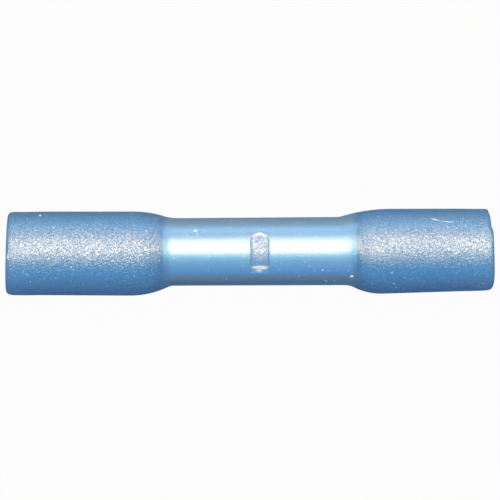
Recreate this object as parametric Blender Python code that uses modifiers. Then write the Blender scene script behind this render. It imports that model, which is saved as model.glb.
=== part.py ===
"""Heat-shrink butt splice connector: a crimp barrel inside an adhesive-lined sleeve.

The splice lies on its side along X, on the plane z = 0, with its wire stop upwards.
Units are metres. Stations are places along X, measured from the middle of the sleeve.
"""
import math

import bmesh
import bpy

# Sleeve: a tube shrunk onto the barrel in the middle and left wide at both ends. Where the
# soft ends rest they are pressed flat, by a share of the height they stand out from the waist.
SLEEVE_LENGTH = 0.0370
SLEEVE_DIAMETER = 0.00639
LEFT_MOUTH_DIAMETER = 0.00631
RIGHT_MOUTH_DIAMETER = 0.00620
WAIST_JACKET_WALL = 0.00040
WAIST_LINING_WALL = 0.000135
FLAT_SPOT_SHARE = 0.29

# Shoulders between waist and ends: a hollow foot arc, then a round crown arc.
LEFT_SHOULDER_LEAD = 0.00103
LEFT_FOOT_RADIUS = 0.00175
LEFT_CROWN_RADIUS = 0.0071
RIGHT_SHOULDER_LEAD = 0.00137
RIGHT_FOOT_RADIUS = 0.0021
RIGHT_CROWN_RADIUS = 0.0084

# Lips at the cut mouths, curled in a little by the heat, and the slant of each cut.
LIP_LENGTH = 0.00060
LIP_CURL = 0.00020
LIP_EDGE_RADIUS = 0.00020
LEFT_CUT_SLANT_DEG = 0.8
RIGHT_CUT_SLANT_DEG = 1.9
SLANT_LENGTH = 0.0020

# Adhesive fillet where the lining leaves the barrel's end.
FILLET_REACH = 0.00035

# Barrel: a seamless tube, set a little off the sleeve's middle.
BARREL_LENGTH = 0.0150
BARREL_DIAMETER = 0.0040
BARREL_WALL = 0.0008
BARREL_OFFSET = 0.00076
BARREL_EDGE_RADIUS = 0.00022
BORE_LEAD_IN = 0.00025

# Wire stop punched across the middle of the barrel.
STOP_WIDTH = 0.00120
STOP_DEPTH = 0.00062
STOP_CORNER_RADIUS = 0.00016
STOP_TURN_DEG = 2.5

# Clearance between nested pieces, and how round the turned shapes are.
NESTING_GAP = 0.00002
SEGMENTS = 32
ARC_STEPS = 5
CORNER_STEPS = 3

BARREL_RADIUS = BARREL_DIAMETER / 2
BORE_RADIUS = BARREL_RADIUS - BARREL_WALL
BARREL_LEFT = BARREL_OFFSET - BARREL_LENGTH / 2
BARREL_RIGHT = BARREL_OFFSET + BARREL_LENGTH / 2
LINING_BORE_RADIUS = BARREL_RADIUS + NESTING_GAP
LINING_RADIUS = LINING_BORE_RADIUS + WAIST_LINING_WALL
JACKET_BORE_RADIUS = LINING_RADIUS + NESTING_GAP
WAIST_RADIUS = JACKET_BORE_RADIUS + WAIST_JACKET_WALL
SLEEVE_RADIUS = SLEEVE_DIAMETER / 2
HALF_SEGMENT = math.pi / SEGMENTS
FLAT_SPOT_DEPTH = FLAT_SPOT_SHARE * (SLEEVE_RADIUS - WAIST_RADIUS)
AXIS_HEIGHT = SLEEVE_RADIUS - FLAT_SPOT_DEPTH


def clear_scene():
    for thing in list(bpy.data.objects):
        bpy.data.objects.remove(thing, do_unlink=True)
    for group in list(bpy.data.collections):
        bpy.data.collections.remove(group)


def make_collection(name):
    group = bpy.data.collections.new(name)
    bpy.context.scene.collection.children.link(group)
    return group


def make_material(name, colour, roughness, metallic, alpha=1.0):
    material = bpy.data.materials.new(name)
    material.use_nodes = True
    shader = material.node_tree.nodes["Principled BSDF"]
    shader.inputs["Base Color"].default_value = (*colour, 1.0)
    shader.inputs["Roughness"].default_value = roughness
    shader.inputs["Metallic"].default_value = metallic
    shader.inputs["Alpha"].default_value = alpha
    material.diffuse_color = (*colour, alpha)
    return material


class End:
    """One end of the sleeve, drawn from the waist outwards to its cut mouth."""

    def __init__(self, side, barrel_end, mouth_diameter, slant_deg, lead, foot_radius, crown_radius):
        self.side = side
        self.reach = SLEEVE_LENGTH / 2
        self.barrel_reach = side * barrel_end
        self.slant = math.tan(math.radians(slant_deg))
        self.mouth_radius = mouth_diameter / 2
        self.foot_radius = foot_radius
        self.crown_radius = crown_radius
        rise = SLEEVE_RADIUS - WAIST_RADIUS
        self.slope = math.acos(1 - rise / (foot_radius + crown_radius))
        self.waist_end = self.barrel_reach - lead
        self.foot_end = self.waist_end + foot_radius * math.sin(self.slope)
        self.crown_end = self.foot_end + crown_radius * math.sin(self.slope)
        self.lip_start = self.reach - LIP_LENGTH

    def radius(self, station):
        """Outer radius of the sleeve at a distance from its middle."""
        if station <= self.waist_end:
            return WAIST_RADIUS
        if station <= self.foot_end:
            run = station - self.waist_end
            return WAIST_RADIUS + self.foot_radius - math.sqrt(self.foot_radius ** 2 - run ** 2)
        if station <= self.crown_end:
            run = self.crown_end - station
            return SLEEVE_RADIUS - self.crown_radius + math.sqrt(self.crown_radius ** 2 - run ** 2)
        share = (station - self.crown_end) / (self.reach - self.crown_end)
        radius = SLEEVE_RADIUS + (self.mouth_radius - SLEEVE_RADIUS) * share
        curl = max(0.0, (station - self.lip_start) / LIP_LENGTH)
        return radius - LIP_CURL * curl ** 2

    def stations(self):
        """Distances at which the sleeve's section is drawn, from the waist to the mouth."""
        places = [self.waist_end + (self.foot_end - self.waist_end) * step / ARC_STEPS
                  for step in range(ARC_STEPS)]
        places += [self.foot_end + (self.crown_end - self.foot_end) * step / ARC_STEPS
                   for step in range(ARC_STEPS)]
        places += [self.crown_end, self.lip_start]
        places += [self.lip_start + LIP_LENGTH * step / CORNER_STEPS
                   for step in range(1, CORNER_STEPS + 1)]
        return places


def sleeve_ends():
    left = End(-1, BARREL_LEFT, LEFT_MOUTH_DIAMETER, LEFT_CUT_SLANT_DEG, LEFT_SHOULDER_LEAD,
               LEFT_FOOT_RADIUS, LEFT_CROWN_RADIUS)
    right = End(1, BARREL_RIGHT, RIGHT_MOUTH_DIAMETER, RIGHT_CUT_SLANT_DEG, RIGHT_SHOULDER_LEAD,
                RIGHT_FOOT_RADIUS, RIGHT_CROWN_RADIUS)
    return left, right


def inner_radius(outer_radius, waist_outer, waist_inner):
    """Inner radius of a wall that keeps its waist's section area when it is opened wider."""
    return math.sqrt(outer_radius ** 2 - waist_outer ** 2 + waist_inner ** 2)


def jacket_bore(outer_radius):
    return inner_radius(outer_radius, WAIST_RADIUS, JACKET_BORE_RADIUS)


def lining_outside(outer_radius):
    return jacket_bore(outer_radius) - NESTING_GAP


def lining_bore(end, station):
    """The lining hugs the barrel to its end, then opens to the free bore in a fillet."""
    free = inner_radius(lining_outside(end.radius(station)), LINING_RADIUS, LINING_BORE_RADIUS)
    past = (station - end.barrel_reach) / FILLET_REACH
    if past <= 0:
        return LINING_BORE_RADIUS
    if past >= 1:
        return free
    ease = math.sqrt(1 - (1 - past) ** 2)
    return LINING_BORE_RADIUS + (free - LINING_BORE_RADIUS) * ease


def rounded_lip(end):
    """Arc round the jacket's outer edge at the cut, as (distance, radius) pairs."""
    arc = []
    for step in range(CORNER_STEPS + 1):
        angle = math.pi / 2 * step / CORNER_STEPS
        place = end.reach - LIP_EDGE_RADIUS * (1 - math.sin(angle))
        arc.append((place, end.radius(place) - LIP_EDGE_RADIUS * (1 - math.cos(angle))))
    return arc


def jacket_half(end):
    """One end's half of the jacket's section: outer line outwards, inner line outwards."""
    outer = [(place, end.radius(place)) for place in end.stations()
             if place < end.reach - LIP_EDGE_RADIUS]
    outer += rounded_lip(end)
    inner = [(place, jacket_bore(end.radius(place))) for place in end.stations()]
    return outer, inner


def lining_half(end):
    """One end's half of the lining's section: outer line outwards, inner line outwards."""
    outer = [(place, lining_outside(end.radius(place))) for place in end.stations()]
    fillet = [end.barrel_reach + FILLET_REACH * step / ARC_STEPS for step in range(ARC_STEPS + 1)]
    beyond = [place for place in end.stations() if place > fillet[-1]]
    inner = [(place, lining_bore(end, place)) for place in fillet + beyond]
    return outer, inner


def full_section(half_maker):
    """Closed section of a sleeve layer, along the outside and back along the bore."""
    left, right = sleeve_ends()
    left_outer, left_inner = half_maker(left)
    right_outer, right_inner = half_maker(right)
    section = [(-place, radius) for place, radius in reversed(left_outer)]
    section += right_outer
    section += list(reversed(right_inner))
    section += [(-place, radius) for place, radius in left_inner]
    return section


def barrel_section():
    """Closed section of the barrel: rounded outer edges and a lead-in at each bore mouth."""
    def edge(end_station, side):
        arc = []
        for step in range(CORNER_STEPS + 1):
            angle = math.pi / 2 * step / CORNER_STEPS
            arc.append((end_station - side * BARREL_EDGE_RADIUS * (1 - math.cos(angle)),
                        BARREL_RADIUS - BARREL_EDGE_RADIUS * (1 - math.sin(angle))))
        return arc

    section = edge(BARREL_LEFT, -1)
    section += list(reversed(edge(BARREL_RIGHT, 1)))
    section += [(BARREL_RIGHT, BORE_RADIUS + BORE_LEAD_IN), (BARREL_RIGHT - BORE_LEAD_IN, BORE_RADIUS)]
    section += [(BARREL_LEFT + BORE_LEAD_IN, BORE_RADIUS), (BARREL_LEFT, BORE_RADIUS + BORE_LEAD_IN)]
    return section


def turn_section(name, section, collection, material):
    """Turn a closed section round X, with a flat of the polygon facing down."""
    mesh = bpy.data.meshes.new(name)
    points = [(place, 0.0, radius) for place, radius in section]
    count = len(points)
    mesh.from_pydata(points, [(i, (i + 1) % count) for i in range(count)], [])
    piece = bpy.data.objects.new(name, mesh)
    collection.objects.link(piece)
    piece.data.materials.append(material)
    piece.location = (0.0, 0.0, AXIS_HEIGHT)
    piece.rotation_euler = (HALF_SEGMENT, 0.0, 0.0)
    turn = piece.modifiers.new("turn", "SCREW")
    turn.axis = "X"
    turn.angle = math.tau
    turn.steps = SEGMENTS
    turn.render_steps = SEGMENTS
    turn.use_normal_flip = True
    turn.use_merge_vertices = True
    turn.merge_threshold = 0.000002
    turn.use_smooth_shade = True
    return piece


def soften_edges(piece):
    """Apply the modifiers, then shade the turned surfaces smooth and keep the real edges."""
    bpy.context.view_layer.update()
    evaluated = piece.evaluated_get(bpy.context.evaluated_depsgraph_get())
    finished = bpy.data.meshes.new_from_object(evaluated)
    piece.modifiers.clear()
    piece.data = finished
    finished.shade_smooth()
    finished.set_sharp_from_angle(angle=math.radians(32))


def flatten_underside(piece):
    """Press both ends flat where they rest, each layer by as much, so that no wall gets thinner."""
    turned = piece.matrix_world.to_3x3()
    left, right = sleeve_ends()
    for corner in piece.data.vertices:
        place = turned @ corner.co
        end = right if place.x > 0 else left
        inward = end.radius(abs(place.x)) - math.hypot(place.y, place.z)
        lowest = inward - AXIS_HEIGHT
        if place.z < lowest:
            place.z = lowest
            corner.co = turned.transposed() @ place


def slant_mouths(piece):
    """Skew both cut ends a little, so that the sleeve is longest on its -Y side."""
    turned = piece.matrix_world.to_3x3()
    for end in sleeve_ends():
        slant_start = end.reach - SLANT_LENGTH
        rim = end.radius(end.reach) - LIP_EDGE_RADIUS
        for corner in piece.data.vertices:
            share = (end.side * corner.co.x - slant_start) / SLANT_LENGTH
            if share > 0:
                across = (turned @ corner.co).y + rim
                corner.co.x -= end.side * share * across * end.slant


def stop_bar(name, width, span, bottom, top, collection):
    """A bar across the barrel at its middle, with rounded lower edges, turned like the stop."""
    tilt = math.radians(STOP_TURN_DEG)
    mesh = bpy.data.meshes.new(name)
    bar = bmesh.new()
    bmesh.ops.create_cube(bar, size=1.0)
    bmesh.ops.scale(bar, vec=(width, span, top - bottom), verts=bar.verts)
    bmesh.ops.translate(bar, vec=(0.0, 0.0, (top + bottom) / 2), verts=bar.verts)
    lower = [edge for edge in bar.edges
             if all(abs(corner.co.z - bottom) < NESTING_GAP for corner in edge.verts)
             and abs(edge.verts[0].co.x - edge.verts[1].co.x) < NESTING_GAP]
    bmesh.ops.bevel(bar, geom=lower, offset=STOP_CORNER_RADIUS, segments=CORNER_STEPS,
                    profile=0.5, affect="EDGES")
    bar.to_mesh(mesh)
    bar.free()
    piece = bpy.data.objects.new(name, mesh)
    collection.objects.link(piece)
    piece.location = (BARREL_OFFSET, 0.0, AXIS_HEIGHT)
    piece.rotation_euler = (tilt, 0.0, 0.0)
    piece.hide_render = True
    piece.display_type = "WIRE"
    return piece


def cut_with(piece, tool, operation):
    change = piece.modifiers.new(tool.name, "BOOLEAN")
    change.object = tool
    change.operation = operation
    change.solver = "EXACT"


def build_barrel(parts, tools):
    """Tinned copper tube; the punch dents its outside and raises the stop in its bore."""
    tin = make_material("tinned copper", (0.74, 0.75, 0.74), 0.32, 1.0)
    barrel = turn_section("crimp_barrel", barrel_section(), parts, tin)
    floor = BARREL_RADIUS - STOP_DEPTH
    crest = floor - BARREL_WALL
    bump = stop_bar("stop_bump", STOP_WIDTH + BARREL_WALL, 2 * BORE_RADIUS + BARREL_WALL / 2,
                    crest, floor - BARREL_WALL / 4, tools)
    punch = stop_bar("stop_punch", STOP_WIDTH, 2 * BARREL_DIAMETER, floor, BARREL_DIAMETER, tools)
    cut_with(barrel, bump, "UNION")
    cut_with(barrel, punch, "DIFFERENCE")
    soften_edges(barrel)
    return barrel


def build_lining(parts):
    glue = make_material("hot-melt adhesive", (0.62, 0.74, 0.86), 0.45, 0.0, 0.6)
    lining = turn_section("adhesive_lining", full_section(lining_half), parts, glue)
    soften_edges(lining)
    flatten_underside(lining)
    slant_mouths(lining)
    return lining


def build_sleeve(parts):
    film = make_material("blue heat-shrink", (0.08, 0.27, 0.52), 0.38, 0.0, 0.7)
    sleeve = turn_section("heat_shrink_sleeve", full_section(jacket_half), parts, film)
    soften_edges(sleeve)
    flatten_underside(sleeve)
    slant_mouths(sleeve)
    return sleeve


clear_scene()
splice = make_collection("butt_splice_connector")
stop_tools = make_collection("stop_tools")
build_barrel(splice, stop_tools)
build_lining(splice)
build_sleeve(splice)
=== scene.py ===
import math

import bpy
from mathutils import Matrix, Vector


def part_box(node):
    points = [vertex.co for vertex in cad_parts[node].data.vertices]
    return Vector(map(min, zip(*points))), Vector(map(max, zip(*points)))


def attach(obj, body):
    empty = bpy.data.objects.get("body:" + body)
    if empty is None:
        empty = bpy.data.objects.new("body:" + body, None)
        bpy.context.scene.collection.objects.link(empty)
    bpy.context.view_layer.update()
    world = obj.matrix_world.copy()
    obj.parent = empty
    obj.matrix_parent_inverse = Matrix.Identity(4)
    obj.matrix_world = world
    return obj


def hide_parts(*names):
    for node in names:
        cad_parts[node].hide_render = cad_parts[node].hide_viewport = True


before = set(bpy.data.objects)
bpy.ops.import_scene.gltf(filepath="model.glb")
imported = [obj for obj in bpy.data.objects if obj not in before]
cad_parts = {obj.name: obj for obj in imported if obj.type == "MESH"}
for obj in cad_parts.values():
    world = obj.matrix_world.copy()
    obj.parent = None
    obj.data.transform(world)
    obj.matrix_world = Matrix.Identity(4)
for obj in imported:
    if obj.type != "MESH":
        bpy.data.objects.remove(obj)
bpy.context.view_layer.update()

mm = 0.001
bodyName = "root"

# the frame's own sizes: the jacket's reach, the barrel's ends and the height of the axis
jacketLow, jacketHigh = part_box("heat_shrink_sleeve")
barrelLow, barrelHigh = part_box("crimp_barrel")
reach = (jacketHigh.x - jacketLow.x) / 2
axisZ = (barrelLow.z + barrelHigh.z) / 2
frameFlats = 32      # sides of the frame's round sections
mergeGap = 0.0005 * mm
steepFace = 0.7      # a face whose normal leans further along X than this is part of a cut
barrelRadius = (barrelHigh.z - barrelLow.z) / 2 / math.cos(math.pi / frameFlats)
barrelMiddle = (barrelLow.x + barrelHigh.x) / 2
print("frame loaded: reach %.2f mm, axis %.3f mm up" % (reach / mm, axisZ / mm))


# Small helpers for mesh work

def deselectAll():
    if bpy.context.object and bpy.context.object.mode != "OBJECT":
        bpy.ops.object.mode_set(mode="OBJECT")
    bpy.ops.object.select_all(action="DESELECT")


def turnTube(name, rings, segments):
    # pulls one open edge from ring to ring and back to the first
    # a ring is (place along X, offset in Y, radius)
    deselectAll()
    place, offset, radius = rings[0]
    bpy.ops.mesh.primitive_circle_add(vertices=segments, radius=radius, location=(place, offset, axisZ),
                                      rotation=(0, math.pi / 2, 0))
    piece = bpy.context.object
    piece.name = name
    piece.data.name = name
    bpy.ops.object.transform_apply(location=True, rotation=True, scale=True)
    bpy.ops.object.mode_set(mode="EDIT")
    bpy.ops.mesh.select_all(action="SELECT")
    last = rings[0]
    for ring in rings[1:] + rings[:1]:
        step = (ring[0] - last[0], ring[1] - last[1], 0)
        bpy.ops.mesh.extrude_edges_move(TRANSFORM_OT_translate={"value": step})
        change = ring[2] / last[2]
        bpy.ops.transform.resize(value=(1, change, change), center_override=(ring[0], ring[1], axisZ))
        last = ring
    bpy.ops.mesh.select_all(action="SELECT")
    bpy.ops.mesh.remove_doubles(threshold=mergeGap)
    bpy.ops.mesh.normals_make_consistent(inside=False)
    bpy.ops.object.mode_set(mode="OBJECT")
    return piece


def pickPoints(piece, test):
    # leaves the piece in edit mode with the wanted points selected
    bpy.ops.object.mode_set(mode="EDIT")
    bpy.ops.mesh.select_mode(type="VERT")
    bpy.ops.mesh.select_all(action="DESELECT")
    bpy.ops.object.mode_set(mode="OBJECT")
    for corner in piece.data.vertices:
        corner.select = test(corner)
    bpy.ops.object.mode_set(mode="EDIT")


def pressLevel(piece, level, test):
    # presses the picked points onto one level
    pickPoints(piece, test)
    bpy.ops.transform.resize(value=(1, 1, 0), center_override=(0, 0, level))
    bpy.ops.object.mode_set(mode="OBJECT")


def pullPoints(piece, move, spread, falloff, test):
    # moves the picked points and draws what is near them along
    pickPoints(piece, test)
    bpy.ops.transform.translate(value=move, use_proportional_edit=True, use_proportional_connected=True,
                                proportional_edit_falloff=falloff, proportional_size=spread)
    bpy.ops.object.mode_set(mode="OBJECT")


def roundRings(edge, radius, soft, steps, side):
    # a quarter round at an outer edge, from the flat face to the outside; side is -1 or 1
    rings = []
    for step in range(steps + 1):
        angle = math.pi / 2 * step / steps
        rings.append((edge - side * soft * (1 - math.cos(angle)), 0, radius - soft * (1 - math.sin(angle))))
    return rings


def spreadPlaces(marks):
    # marks are (place, steps to the next one)
    places = []
    for (start, steps), (end, _) in zip(marks, marks[1:]):
        places += [start + (end - start) * step / steps for step in range(steps)]
    return places + [marks[-1][0]]


def seat(piece, node):
    deselectAll()
    bpy.context.view_layer.objects.active = piece
    piece.select_set(True)
    bpy.ops.object.shade_smooth_by_angle(angle=math.radians(40))
    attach(piece, bodyName)
    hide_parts(node)
    triangles = sum(len(face.vertices) - 2 for face in piece.data.polygons)
    print("%s: %d triangles" % (piece.name, triangles))


# The jacket: a shrunk film, narrow over the barrel and wide at both ends

jacketLook = {
    "segments": 192,
    # each edge seen from above, in mm: where its shoulder starts, waist half width,
    # radius of the hollow arc, radius of the round arc, rise, taper towards the mouth
    "edges": {
        "leftTop": (5.41, 2.605, 3.51, 7.89, 0.530, -0.0075),
        "leftBottom": (5.79, 2.511, 0.97, 6.58, 0.727, 0.0136),
        "rightTop": (6.70, 2.592, 0.575, 13.14, 0.587, 0.0065),
        "rightBottom": (7.15, 2.580, 1.6, 4.56, 0.673, 0.0231),
    },
    "waistRadius": 2.575 * mm,
    "wall": 0.40 * mm,
    "lipLength": 0.60 * mm,
    "leftLip": (0.14 * mm, 0.22 * mm),     # how far each lip curls in, and its round edge
    "rightLip": (0.10 * mm, 0.19 * mm),
    "lipSteps": 6,
    "curlSteps": 4,
    "shoulders": (-9.1 * mm, -5.3 * mm, 6.6 * mm, 10.8 * mm),
    "stopSpan": 1.20 * mm,     # finely divided stretch over the wire stop, each way
    "endSteps": 10,            # divisions of the ends, shoulders, waist and that stretch
    "shoulderSteps": 28,
    "waistSteps": 5,
    "stopSteps": 42,
    "restLevel": 0.0,          # the soft ends lie flat on the table
    "boreRestLevel": 0.315 * mm,
    "leftSlant": 0.034,        # how much each cut leans, as a slope
    "rightSlant": 0.025,
    "slantSlice": 0.05 * mm,   # points this near the end are turned
    "slantReach": 2.5 * mm,    # and points this far in are drawn along
    "dimpleHalf": (0.52 * mm, 1.26 * mm),
    "dimpleCrown": 0.45 * mm,  # how round its +Y end is
    "dimpleDepth": 0.095 * mm,
    "dimpleSoft": 0.28 * mm,
    "cornerDepth": 0.15 * mm,  # the right cut draws back at its two sides
    "cornerShare": 0.995,
    "cornerSoft": 2.40 * mm,
    "nickFrom": 1.62 * mm,     # and steps back from here up
    "nickDepth": 0.13 * mm,
    "nickSoft": 0.30 * mm,
    "nickSlice": 0.35 * mm,    # how near the end both take hold
}


def edgeHalfWidth(side, place):
    # half width at a place along X; between the shoulders the waist runs straight
    left = jacketLook["edges"]["left" + side]
    right = jacketLook["edges"]["right" + side]
    away = abs(place / mm)
    start, waist, hollow, crown, rise, taper = left if place < 0 else right
    if away <= start:
        share = (place / mm + left[0]) / (left[0] + right[0])
        return (left[1] + (right[1] - left[1]) * share) * mm
    slope = math.acos(1 - rise / (hollow + crown))
    hollowEnd = start + hollow * math.sin(slope)
    crownEnd = hollowEnd + crown * math.sin(slope)
    if away <= hollowEnd:
        return (waist + hollow - math.sqrt(hollow ** 2 - (away - start) ** 2)) * mm
    if away <= crownEnd:
        return (waist + rise - crown + math.sqrt(crown ** 2 - (crownEnd - away) ** 2)) * mm
    return (waist + rise - taper * (away - crownEnd)) * mm


def outerRing(place):
    top = edgeHalfWidth("Top", place)
    bottom = edgeHalfWidth("Bottom", place)
    share = max(0, (abs(place) - reach) / jacketLook["lipLength"] + 1)
    curl, _ = jacketLook["leftLip" if place < 0 else "rightLip"]
    return place, (top - bottom) / 2, (top + bottom) / 2 - curl * share ** 2


def innerRing(place, depth):
    # a wall keeps its section area where the heat shrinks it less
    waist = jacketLook["waistRadius"]
    _, offset, radius = outerRing(place)
    return place, offset, math.sqrt(radius ** 2 - waist ** 2 + (waist - depth) ** 2)


def sleevePlaces():
    # places along X between the lips, closer together on the shoulders and over the wire stop
    look = jacketLook
    farLeft, left, right, farRight = look["shoulders"]
    end = reach - look["lipLength"]
    span = look["stopSpan"]
    return spreadPlaces([
        (-end, look["endSteps"]), (farLeft, look["shoulderSteps"]), (left, look["waistSteps"]),
        (barrelMiddle - span, look["stopSteps"]), (barrelMiddle + span, look["waistSteps"]),
        (right, look["shoulderSteps"]), (farRight, look["endSteps"]), (end, 0),
    ])


def lipRings(side):
    # the rounded outer edge of a cut mouth, from the outside to the cut's face
    look = jacketLook
    start = reach - look["lipLength"]
    _, soft = look["leftLip" if side < 0 else "rightLip"]
    straight = look["lipLength"] - soft
    count = look["curlSteps"]
    rings = [outerRing(side * (start + straight * step / count)) for step in range(1, count + 1)]
    for step in range(1, look["lipSteps"] + 1):
        angle = math.pi / 2 * step / look["lipSteps"]
        place, offset, radius = outerRing(side * (reach - soft * (1 - math.sin(angle))))
        rings.append((place, offset, radius - soft * (1 - math.cos(angle))))
    return rings


def slantMouths(piece):
    # leans both cuts, so that the sleeve is longest on its -Y side
    look = jacketLook
    for side, slope in ((-1, look["leftSlant"]), (1, look["rightSlant"])):
        pickPoints(piece, lambda corner: side * corner.co.x > reach - look["slantSlice"])
        bpy.ops.transform.rotate(value=-side * slope, orient_axis="Z",
                                 center_override=(side * reach, jacketLow.y, axisZ),
                                 use_proportional_edit=True, use_proportional_connected=False,
                                 proportional_edit_falloff="LINEAR", proportional_size=look["slantReach"])
        bpy.ops.object.mode_set(mode="OBJECT")


def nickMouth(piece):
    # the right cut draws back at its two sides, and has a step near its +Y side
    look = jacketLook

    def atSide(corner):
        away = math.hypot(corner.co.y, corner.co.z - axisZ)
        return corner.co.x > reach - look["nickSlice"] and abs(corner.co.y) > look["cornerShare"] * away

    def pastStep(corner):
        return corner.co.x > reach - look["nickSlice"] and corner.co.y > look["nickFrom"]

    pullPoints(piece, (-look["cornerDepth"], 0, 0), look["cornerSoft"], "SHARP", atSide)
    pullPoints(piece, (-look["nickDepth"], 0, 0), look["nickSoft"], "SHARP", pastStep)


def dimpleTest(corner):
    # the film's outside over the wire stop, straight at one end and round at the other
    halfX, halfY = jacketLook["dimpleHalf"]
    x, y, z = corner.co.x - barrelMiddle, corner.co.y, corner.co.z - axisZ
    if z < 0 or math.hypot(y, z) < jacketLook["waistRadius"] - jacketLook["wall"] / 2:
        return False
    past = max(0, y - (halfY - jacketLook["dimpleCrown"])) / jacketLook["dimpleCrown"]
    return past < 1 and y > -halfY and abs(x) < halfX * math.sqrt(1 - past ** 2)


def makeJacket():
    look = jacketLook
    outside = [outerRing(place) for place in sleevePlaces()]
    outside = list(reversed(lipRings(-1))) + outside + lipRings(1)
    inside = [innerRing(place, look["wall"]) for place in [-reach] + sleevePlaces() + [reach]]
    piece = turnTube("jacketFilm", outside + list(reversed(inside)), look["segments"])
    bore = set()
    for face in piece.data.polygons:
        outwards = Vector((0, face.center.y, face.center.z - axisZ)).dot(face.normal)
        if outwards < 0 and abs(face.normal.x) < steepFace:
            face.material_index = 1      # its inner wall is bonded to the lining
            bore.update(face.vertices)
    pullPoints(piece, (0, 0, -look["dimpleDepth"]), look["dimpleSoft"], "SMOOTH", dimpleTest)
    pressLevel(piece, look["restLevel"],
               lambda corner: corner.index not in bore and corner.co.z < look["restLevel"])
    pressLevel(piece, look["boreRestLevel"],
               lambda corner: corner.index in bore and corner.co.z < look["boreRestLevel"])
    slantMouths(piece)
    nickMouth(piece)
    return piece


jacket = makeJacket()
seat(jacket, "heat_shrink_sleeve")


# The adhesive lining inside it

liningLook = {
    "wall": 0.135 * mm,
    "bond": 0.008 * mm,        # the hair between bonded layers
    "mouthStep": 0.02 * mm,    # how far its cut stands back from the jacket's
    "filletReach": 0.35 * mm,
    "filletSteps": 6,
    "restLevel": 0.325 * mm,
    "boreRestLevel": 0.435 * mm,
    "stopHalf": (0.75 * mm, 1.40 * mm),   # where it hangs free over the wire stop
}


def liningBore(place):
    # hugs the barrel to its end, then opens in a fillet to the free bore
    _, offset, free = innerRing(place, jacketLook["wall"] + liningLook["wall"])
    hugged = barrelRadius + liningLook["bond"]
    past = max(place - barrelHigh.x, barrelLow.x - place) / liningLook["filletReach"]
    past = min(1, max(0, past))
    ease = math.sqrt(1 - (1 - past) ** 2)
    return place, offset * ease, hugged + (free - hugged) * ease


def makeLining():
    look = liningLook
    end = reach - look["mouthStep"]
    places = [-end] + sleevePlaces() + [end]
    outside = [innerRing(place, jacketLook["wall"]) for place in places]
    outside = [(place, offset, radius - look["bond"]) for place, offset, radius in outside]
    fillet = [look["filletReach"] * step / look["filletSteps"] for step in range(look["filletSteps"] + 1)]
    left, right = barrelLow.x - look["filletReach"], barrelHigh.x + look["filletReach"]
    inside = [place for place in places if place < left]
    inside += [barrelLow.x - step for step in reversed(fillet)]
    inside += [place for place in places if barrelLow.x < place < barrelHigh.x]
    inside += [barrelHigh.x + step for step in fillet] + [place for place in places if place > right]
    inside = [liningBore(place) for place in inside]
    piece = turnTube("glueLining", outside + list(reversed(inside)), jacketLook["segments"])
    bore = set()
    halfX, halfY = look["stopHalf"]
    for face in piece.data.polygons:
        outwards = Vector((0, face.center.y, face.center.z - axisZ)).dot(face.normal)
        inner = outwards < 0 or abs(face.normal.x) > steepFace
        if inner:
            bore.update(face.vertices)
        wetted = barrelLow.x < face.center.x < barrelHigh.x
        overStop = (abs(face.center.x - barrelMiddle) < halfX and abs(face.center.y) < halfY
                    and face.center.z > axisZ)
        face.material_index = 0 if inner and (overStop or not wetted) else 1
    pressLevel(piece, look["restLevel"],
               lambda corner: corner.index not in bore and corner.co.z < look["restLevel"])
    pressLevel(piece, look["boreRestLevel"],
               lambda corner: corner.index in bore and corner.co.z < look["boreRestLevel"])
    slantMouths(piece)
    nickMouth(piece)
    return piece


lining = makeLining()
seat(lining, "adhesive_lining")


# The crimp barrel and its punched wire stop

barrelLook = {
    "segments": 160,
    "wall": 0.80 * mm,
    "edgeRound": 0.22 * mm,
    "edgeSteps": 5,
    "leadIn": 0.25 * mm,
    "stopWidth": 1.20 * mm,
    "stopDepth": 0.62 * mm,
    "stopWallRun": 0.12 * mm,
    "stopTurn": math.radians(2.5),
    "bumpWidth": 2.00 * mm,    # the crest that the wire stop makes in the bore
    "bumpRun": 0.40 * mm,
    "hair": 0.01 * mm,
}


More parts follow.
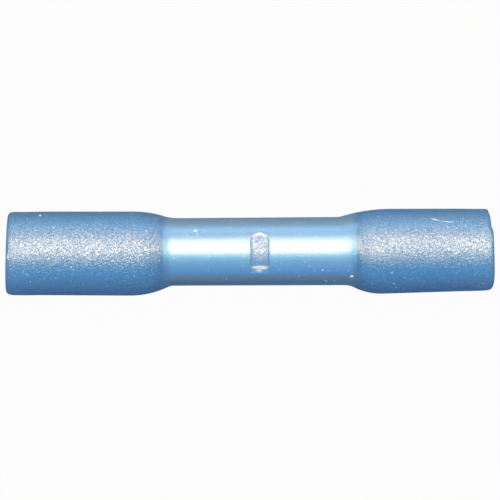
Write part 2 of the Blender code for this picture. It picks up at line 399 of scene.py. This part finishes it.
def makeBarrel():
    look = barrelLook
    bore = barrelRadius - look["wall"]
    soft = look["edgeRound"]
    wallFoot = look["stopWidth"] / 2
    wallTop = wallFoot + look["stopWallRun"]
    body = spreadPlaces([(barrelLow.x + soft, 8), (barrelMiddle - wallTop, 1), (barrelMiddle - wallFoot, 8),
                         (barrelMiddle + wallFoot, 1), (barrelMiddle + wallTop, 8), (barrelHigh.x - soft, 0)])
    bumpTop = look["bumpWidth"] / 2
    bumpFoot = bumpTop + look["bumpRun"]
    inside = spreadPlaces([(barrelHigh.x - look["leadIn"], 4), (barrelMiddle + bumpFoot, 3),
                           (barrelMiddle + bumpTop, 8), (barrelMiddle - bumpTop, 3),
                           (barrelMiddle - bumpFoot, 4), (barrelLow.x + look["leadIn"], 0)])
    rings = roundRings(barrelLow.x, barrelRadius, soft, look["edgeSteps"], -1)
    rings += [(place, 0, barrelRadius) for place in body[1:-1]]
    rings += list(reversed(roundRings(barrelHigh.x, barrelRadius, soft, look["edgeSteps"], 1)))
    rings += [(barrelHigh.x, 0, bore + look["leadIn"])]
    rings += [(place, 0, bore) for place in inside]
    rings += [(barrelLow.x, 0, bore + look["leadIn"])]
    piece = turnTube("tinnedBarrel", rings, look["segments"])
    floor = axisZ + barrelRadius - look["stopDepth"]
    crest = floor - look["wall"]
    hair = look["hair"]

    def onOutside(corner):
        return (math.hypot(corner.co.y, corner.co.z - axisZ) > barrelRadius - hair and corner.co.z > floor
                and abs(corner.co.x - barrelMiddle) < wallFoot + hair)

    def onBore(corner):
        return (math.hypot(corner.co.y, corner.co.z - axisZ) < bore + hair and corner.co.z > crest
                and abs(corner.co.x - barrelMiddle) < bumpTop + hair)

    pressLevel(piece, floor, onOutside)
    pressLevel(piece, crest, onBore)
    bpy.ops.object.mode_set(mode="EDIT")
    bpy.ops.mesh.select_all(action="SELECT")
    bpy.ops.transform.rotate(value=-look["stopTurn"], orient_axis="X",
                             center_override=(barrelMiddle, 0, axisZ))
    bpy.ops.object.mode_set(mode="OBJECT")
    return piece


barrel = makeBarrel()
seat(barrel, "crimp_barrel")


# Materials

def newMaterial(name):
    material = bpy.data.materials.new(name)
    material.use_nodes = True
    material.node_tree.nodes.clear()
    return material, material.node_tree.nodes, material.node_tree.links


def addNode(nodes, kind, inputs=None, **values):
    node = nodes.new("ShaderNode" + kind)
    for name, value in values.items():
        setattr(node, name, value)
    for name, value in (inputs or {}).items():
        node.inputs[name].default_value = value
    return node


def mathNode(nodes, links, operation, first, second):
    # each of the two is an output or a number
    node = addNode(nodes, "Math", operation=operation)
    for socket, value in zip(node.inputs, (first, second)):
        if isinstance(value, (int, float)):
            socket.default_value = value
        else:
            links.new(value, socket)
    return node.outputs[0]


def fade(nodes, links, value, start, end, first, last):
    node = addNode(nodes, "MapRange", {"From Min": start, "From Max": end, "To Min": first, "To Max": last})
    links.new(value, node.inputs["Value"])
    return node.outputs["Result"]


def spot(nodes, links, coords, centre, size, turn, edge):
    # 1 inside a turned oval, 0 outside it
    place = addNode(nodes, "Mapping", {"Location": centre, "Rotation": (0, 0, turn), "Scale": size},
                    vector_type="TEXTURE")
    links.new(coords, place.inputs["Vector"])
    length = addNode(nodes, "VectorMath", operation="LENGTH")
    links.new(place.outputs[0], length.inputs[0])
    return fade(nodes, links, length.outputs["Value"], edge, 1.0, 1.0, 0.0)


filmLook = {
    "tint": (0.07, 0.355, 0.75),
    "ior": 1.2,
    "transmission": 0.84,
    "roughness": 0.28,
    "coatIor": 2.7,
    "glossLevel": 0.74,
    "coatRoughness": 0.31,
    "coatFull": 0.16,          # how far from facing the gloss stays whole, and where it ends
    "coatEnd": 0.80,
    "grainScale": 7200,
    "grainKind": "FBM",
    "grainWarp": 1.2,
    "grainDepth": 0.052 * mm,
    "fleckFrom": (0.36, 0.64),
    "fleckTo": (-0.50, 0.50),
    "grainStart": 7.40 * mm,   # from the barrel's middle: the grain shows past the metal
    "grainWhole": 7.75 * mm,
    "waistGrain": 0.24,
    "stopGrain": (0.80 * mm, 1.05 * mm, 1.6 * mm),   # and over the wire stop
    "stopGrainY": 0.20 * mm,
    "stopGrainDown": 0.60 * mm,
    "stopGrainEdge": 0.70,
    "haze": 0.08,              # white bloom where the film lies on the metal, and at the ends
    "endHaze": 0.03,
    "hazeWhole": 6.9 * mm,
    "hazeEnd": 7.4 * mm,
    "scuffAndHighlightReach": 0.60 * mm,   # how deep a scuff or the painted highlight goes, and where its edge starts to fade
    "scuffAndHighlightEdge": 0.50,
    "speckScale": 1900,
    "speckSize": 0.17,
    "speckShare": 0.60,
    "speckWhite": 0.30,
}

# scuffs and pale spots, and a painted highlight where the film folds at the wire stop's lower end, in mm and
# degrees:
# place along X, place in Y, length, width, turn, whiteness
scuffsAndPaintedHighlight = [
    (7.67, -1.90, 0.40, 0.22, 20, 0.85), (14.00, 2.32, 0.90, 0.10, -15, 0.55),
    (14.98, 2.15, 1.20, 0.08, -3, 0.55), (-4.07, 1.64, 0.45, 0.14, 10, 0.80),
    (-3.95, 1.35, 0.12, 0.50, 0, 0.35), (-15.81, 2.89, 0.22, 0.18, 0, 0.60),
    (-14.75, 1.98, 0.20, 0.12, 30, 0.50), (-14.75, 1.67, 0.18, 0.12, -20, 0.45),
    (-1.80, -2.07, 0.16, 0.14, 0, 0.45), (5.47, -1.42, 0.18, 0.14, 0, 0.55),
    (5.74, -2.24, 0.40, 0.12, -35, 0.60), (6.38, -2.24, 0.16, 0.14, 0, 0.55),
    (4.49, -1.11, 0.14, 0.14, 0, 0.40), (4.19, -0.76, 0.14, 0.12, 0, 0.40),
    (-1.42, 2.36, 0.16, 0.12, 0, 0.40), (3.66, 2.16, 0.14, 0.12, 0, 0.40),
    (-0.59, 2.28, 0.14, 0.12, 0, 0.40), (10.85, -2.48, 0.18, 0.14, 0, 0.50),
    (11.02, -2.79, 0.16, 0.12, 0, 0.40), (-18.20, -0.20, 0.20, 0.50, 0, 0.50),
    # painted highlight: two white ovals where the film's fold at the wire stop's lower end catches the light
    (0.75, -1.17, 1.75, 0.36, 0, 0.55), (0.72, -1.42, 0.62, 0.34, 0, 0.35),
]


def filmMaterial():
    look = filmLook
    material, nodes, links = newMaterial("blueFilm")
    out = addNode(nodes, "OutputMaterial")
    shader = addNode(nodes, "BsdfPrincipled", {
        "Base Color": (*look["tint"], 1), "Roughness": look["roughness"], "IOR": look["ior"],
        "Transmission Weight": look["transmission"], "Coat IOR": look["coatIor"],
        "Coat Roughness": look["coatRoughness"],
    })
    facing = addNode(nodes, "LayerWeight")
    gloss = fade(nodes, links, facing.outputs["Facing"], look["coatFull"], look["coatEnd"], 1.0, 0.0)

    coords = addNode(nodes, "TexCoord").outputs["Object"]
    parts = addNode(nodes, "SeparateXYZ")
    links.new(coords, parts.inputs[0])
    along = mathNode(nodes, links, "SUBTRACT", parts.outputs["X"], barrelMiddle)
    fromMiddle = mathNode(nodes, links, "ABSOLUTE", along, 0)

    # worm-like orange peel where the film stands clear of the metal
    ends = fade(nodes, links, fromMiddle, look["grainStart"], look["grainWhole"], look["waistGrain"], 1.0)
    stopTop = (barrelMiddle, look["stopGrainY"], jacketHigh.z - look["stopGrainDown"])
    overStop = spot(nodes, links, coords, stopTop, look["stopGrain"], 0, look["stopGrainEdge"])
    grainAmount = mathNode(nodes, links, "MAXIMUM", ends, overStop)
    grain = addNode(nodes, "TexNoise", {"Scale": look["grainScale"], "Detail": 2.0, "Roughness": 0.55,
                                        "Distortion": look["grainWarp"]}, noise_type=look["grainKind"])
    links.new(coords, grain.inputs["Vector"])
    fleck = fade(nodes, links, grain.outputs["Fac"], *look["fleckFrom"], *look["fleckTo"])
    fleck = mathNode(nodes, links, "MULTIPLY", fleck, grainAmount)
    fleck = mathNode(nodes, links, "ADD", fleck, look["glossLevel"])
    links.new(mathNode(nodes, links, "MULTIPLY", gloss, fleck), shader.inputs["Coat Weight"])
    bump = addNode(nodes, "Bump", {"Distance": look["grainDepth"]})
    links.new(grain.outputs["Fac"], bump.inputs["Height"])
    links.new(grainAmount, bump.inputs["Strength"])
    links.new(bump.outputs["Normal"], shader.inputs["Normal"])
    links.new(bump.outputs["Normal"], shader.inputs["Coat Normal"])

    # white bloom over the metal, scuffs and specks, and the painted highlight at the wire stop's lower end
    white = fade(nodes, links, fromMiddle, look["hazeWhole"], look["hazeEnd"], look["haze"], look["endHaze"])
    for x, y, length, width, turn, whiteness in scuffsAndPaintedHighlight:
        radius = (edgeHalfWidth("Top", x * mm) + edgeHalfWidth("Bottom", x * mm)) / 2
        z = axisZ + math.sqrt(radius ** 2 - (y * mm) ** 2)
        size = (length / 2 * mm, width / 2 * mm, look["scuffAndHighlightReach"])
        mark = spot(nodes, links, coords, (x * mm, y * mm, z), size, math.radians(turn), look["scuffAndHighlightEdge"])
        mark = mathNode(nodes, links, "MULTIPLY", mark, whiteness)
        white = mathNode(nodes, links, "MAXIMUM", white, mark)
    specks = addNode(nodes, "TexVoronoi", {"Scale": look["speckScale"]})
    links.new(coords, specks.inputs["Vector"])
    chosen = addNode(nodes, "SeparateColor")
    links.new(specks.outputs["Color"], chosen.inputs[0])
    kept = mathNode(nodes, links, "LESS_THAN", chosen.outputs[0], look["speckShare"])
    speck = fade(nodes, links, specks.outputs["Distance"], look["speckSize"] / 2, look["speckSize"],
                 look["speckWhite"], 0.0)
    speck = mathNode(nodes, links, "MULTIPLY", speck, kept)
    white = mathNode(nodes, links, "MAXIMUM", white, speck)
    bloom = addNode(nodes, "BsdfDiffuse", {"Color": (1, 1, 1, 1)})
    milky = addNode(nodes, "MixShader")
    links.new(white, milky.inputs["Fac"])
    links.new(shader.outputs[0], milky.inputs[1])
    links.new(bloom.outputs[0], milky.inputs[2])

    # light reaches the metal and the glue through it
    clear = addNode(nodes, "BsdfTransparent", {"Color": (*[math.sqrt(value) for value in look["tint"]], 1)})
    path = addNode(nodes, "LightPath")
    seen = milky
    for ray in ("Is Glossy Ray", "Is Diffuse Ray", "Is Shadow Ray"):
        mix = addNode(nodes, "MixShader")
        links.new(path.outputs[ray], mix.inputs["Fac"])
        links.new(seen.outputs[0], mix.inputs[1])
        links.new(clear.outputs[0], mix.inputs[2])
        seen = mix
    links.new(seen.outputs[0], out.inputs["Surface"])
    return material


def bondedMaterial(name):
    # a face that has no surface of its own, because it is wetted by what it lies on
    material, nodes, links = newMaterial(name)
    out = addNode(nodes, "OutputMaterial")
    clear = addNode(nodes, "BsdfTransparent")
    links.new(clear.outputs[0], out.inputs["Surface"])
    return material


glueLook = {
    "colour": (0.62, 0.70, 0.84),
    "cloud": 0.70,
    "translucent": 0.45,
    "roughness": 0.35,
    "grainScale": 4300,
    "grainDepth": 0.02 * mm,
}


def glueMaterial():
    look = glueLook
    material, nodes, links = newMaterial("cloudyGlue")
    out = addNode(nodes, "OutputMaterial")
    shader = addNode(nodes, "BsdfPrincipled", {
        "Base Color": (*look["colour"], 1), "Roughness": look["roughness"], "IOR": 1.5,
        "Transmission Weight": 1.0 - look["cloud"],
    })
    coords = addNode(nodes, "TexCoord").outputs["Object"]
    grain = addNode(nodes, "TexNoise", {"Scale": look["grainScale"], "Detail": 2.0, "Roughness": 0.5,
                                        "Distortion": 1.0})
    links.new(coords, grain.inputs["Vector"])
    bump = addNode(nodes, "Bump", {"Distance": look["grainDepth"]})
    links.new(grain.outputs["Fac"], bump.inputs["Height"])
    links.new(bump.outputs["Normal"], shader.inputs["Normal"])
    through = addNode(nodes, "BsdfTranslucent", {"Color": (*look["colour"], 1)})
    mix = addNode(nodes, "MixShader", {"Fac": look["translucent"]})
    links.new(shader.outputs[0], mix.inputs[1])
    links.new(through.outputs[0], mix.inputs[2])
    links.new(mix.outputs[0], out.inputs["Surface"])
    return material


tinLook = {
    "bright": (0.93, 0.93, 0.92),
    "dull": (0.86, 0.86, 0.86),
    "roughness": 0.64,
    "mottleScale": 1800,
    "mottleSpan": (0.35, 0.65),
    "grainScale": 9000,
    "grainDepth": 0.002 * mm,
}


def tinMaterial():
    look = tinLook
    material, nodes, links = newMaterial("satinTin")
    out = addNode(nodes, "OutputMaterial")
    shader = addNode(nodes, "BsdfPrincipled", {"Metallic": 1.0, "Roughness": look["roughness"]})
    coords = addNode(nodes, "TexCoord").outputs["Object"]
    mottle = addNode(nodes, "TexNoise", {"Scale": look["mottleScale"], "Detail": 3.0})
    links.new(coords, mottle.inputs["Vector"])
    colours = addNode(nodes, "ValToRGB")
    tones = (look["dull"], look["bright"])
    for stop, place, tone in zip(colours.color_ramp.elements, look["mottleSpan"], tones):
        stop.position = place
        stop.color = (*tone, 1)
    links.new(mottle.outputs["Fac"], colours.inputs["Fac"])
    links.new(colours.outputs["Color"], shader.inputs["Base Color"])
    grain = addNode(nodes, "TexNoise", {"Scale": look["grainScale"], "Detail": 1.0})
    links.new(coords, grain.inputs["Vector"])
    bump = addNode(nodes, "Bump", {"Distance": look["grainDepth"]})
    links.new(grain.outputs["Fac"], bump.inputs["Height"])
    links.new(bump.outputs["Normal"], shader.inputs["Normal"])
    links.new(shader.outputs[0], out.inputs["Surface"])
    return material


jacket.data.materials.append(filmMaterial())
jacket.data.materials.append(bondedMaterial("bondedFilm"))
lining.data.materials.append(glueMaterial())
lining.data.materials.append(bondedMaterial("bondedGlue"))
barrel.data.materials.append(tinMaterial())
print("materials made")


# Table, light and camera

stage = {
    "tableSize": 3.0,
    "tableColour": 0.17,
    "seenWhite": 0.975,        # how much of plain white the camera sees
    "mirroredWhite": 0.02,     # what metal and gloss see of it
    "throughWhite": 0.34,      # and what shows through the film
    "lampDistance": 0.45,
    "cameraDistance": 0.450,
    "sensorWidth": 36,
    "frameWidth": 37.879 * mm,
    "frameMiddle": (0.019 * mm, 0.145 * mm),
    "frameTurn": math.radians(-0.48),
}

# each lamp: its span in degrees from overhead towards +Y, its inner and outer angle along X,
# its radiance and its colour
lamps = {
    "key": (-4, 29, 0, 30, 7.9, (1.0, 0.80, 0.54)),
    "upper": (29, 48, 0, 30, 3.8, (1.0, 0.76, 0.45)),
    "backFill": (-45, -4, 0, 30, 0.60, (0.05, 0.7, 1.0)),
    "low": (-88, -45, 0, 30, 1.05, (0.0, 0.42, 0.95)),
    "wall": (70, 90, 0, 30, 2.9, (0.48, 0.76, 1.0)),
    "side": (35, 80, 30, 50, 0.55, (0.0, 0.2, 1.0)),
}


def addTable():
    deselectAll()
    bpy.ops.mesh.primitive_plane_add(size=stage["tableSize"], location=(0, 0, 0))
    table = bpy.context.object
    table.name = "whiteTable"
    material, nodes, links = newMaterial("whiteTable")
    out = addNode(nodes, "OutputMaterial")
    paper = addNode(nodes, "BsdfDiffuse", {"Color": (*[stage["tableColour"]] * 3, 1)})
    glow = addNode(nodes, "Emission")
    path = addNode(nodes, "LightPath")
    seen = mathNode(nodes, links, "MULTIPLY", path.outputs["Is Camera Ray"], stage["seenWhite"])
    mirrored = mathNode(nodes, links, "MULTIPLY", path.outputs["Is Glossy Ray"], stage["mirroredWhite"])
    through = mathNode(nodes, links, "MULTIPLY", path.outputs["Is Transmission Ray"], stage["throughWhite"])
    share = mathNode(nodes, links, "MAXIMUM", seen, mathNode(nodes, links, "MAXIMUM", mirrored, through))
    mix = addNode(nodes, "MixShader")
    links.new(share, mix.inputs["Fac"])
    links.new(paper.outputs[0], mix.inputs[1])
    links.new(glow.outputs[0], mix.inputs[2])
    links.new(mix.outputs[0], out.inputs["Surface"])
    table.data.materials.append(material)


def addLamp(name):
    first, last, inner, outer, radiance, colour = lamps[name]
    distance = stage["lampDistance"]
    near, far = [distance * math.tan(math.radians(angle)) for angle in (inner, outer)]
    lean = math.radians((first + last) / 2)
    depth = 2 * distance * math.tan(math.radians((last - first) / 2))
    spans = [(-far, far)] if inner == 0 else [(-far, -near), (near, far)]
    for left, right in spans:
        lamp = bpy.data.lights.new(name, "AREA")
        lamp.shape = "RECTANGLE"
        lamp.size = right - left
        lamp.size_y = depth
        lamp.color = colour
        lamp.energy = radiance * math.pi * lamp.size * lamp.size_y
        holder = bpy.data.objects.new(name, lamp)
        holder.location = ((left + right) / 2, distance * math.sin(lean), axisZ + distance * math.cos(lean))
        holder.rotation_euler = (-lean, 0, 0)
        holder.visible_camera = False
        bpy.context.scene.collection.objects.link(holder)


def addWorld():
    world = bpy.data.worlds.new("whiteRoom")
    bpy.context.scene.world = world
    world.use_nodes = True
    nodes, links = world.node_tree.nodes, world.node_tree.links
    nodes.clear()
    out = addNode(nodes, "OutputWorld")
    dim = addNode(nodes, "Background", {"Color": (1, 1, 1, 1), "Strength": 0.0})
    white = addNode(nodes, "Background", {"Color": (1, 1, 1, 1), "Strength": 1.0})
    path = addNode(nodes, "LightPath")
    mix = addNode(nodes, "MixShader")
    links.new(path.outputs["Is Camera Ray"], mix.inputs["Fac"])
    links.new(dim.outputs[0], mix.inputs[1])
    links.new(white.outputs[0], mix.inputs[2])
    links.new(mix.outputs[0], out.inputs["Surface"])


def addCamera():
    lens = bpy.data.cameras.new("overhead")
    lens.sensor_width = stage["sensorWidth"]
    lens.lens = lens.sensor_width * stage["cameraDistance"] / stage["frameWidth"]
    lens.clip_start = 0.01
    lens.clip_end = 10
    camera = bpy.data.objects.new("overhead", lens)
    camera.location = (*stage["frameMiddle"], axisZ + stage["cameraDistance"])
    camera.rotation_euler = (0, 0, stage["frameTurn"])
    bpy.context.scene.collection.objects.link(camera)
    bpy.context.scene.camera = camera


addTable()
for lampName in lamps:
    addLamp(lampName)
addWorld()
addCamera()
scene = bpy.context.scene
scene.view_settings.view_transform = "Standard"
scene.cycles.transparent_max_bounces = 24   # the film is crossed many times
print("table, light and camera set")
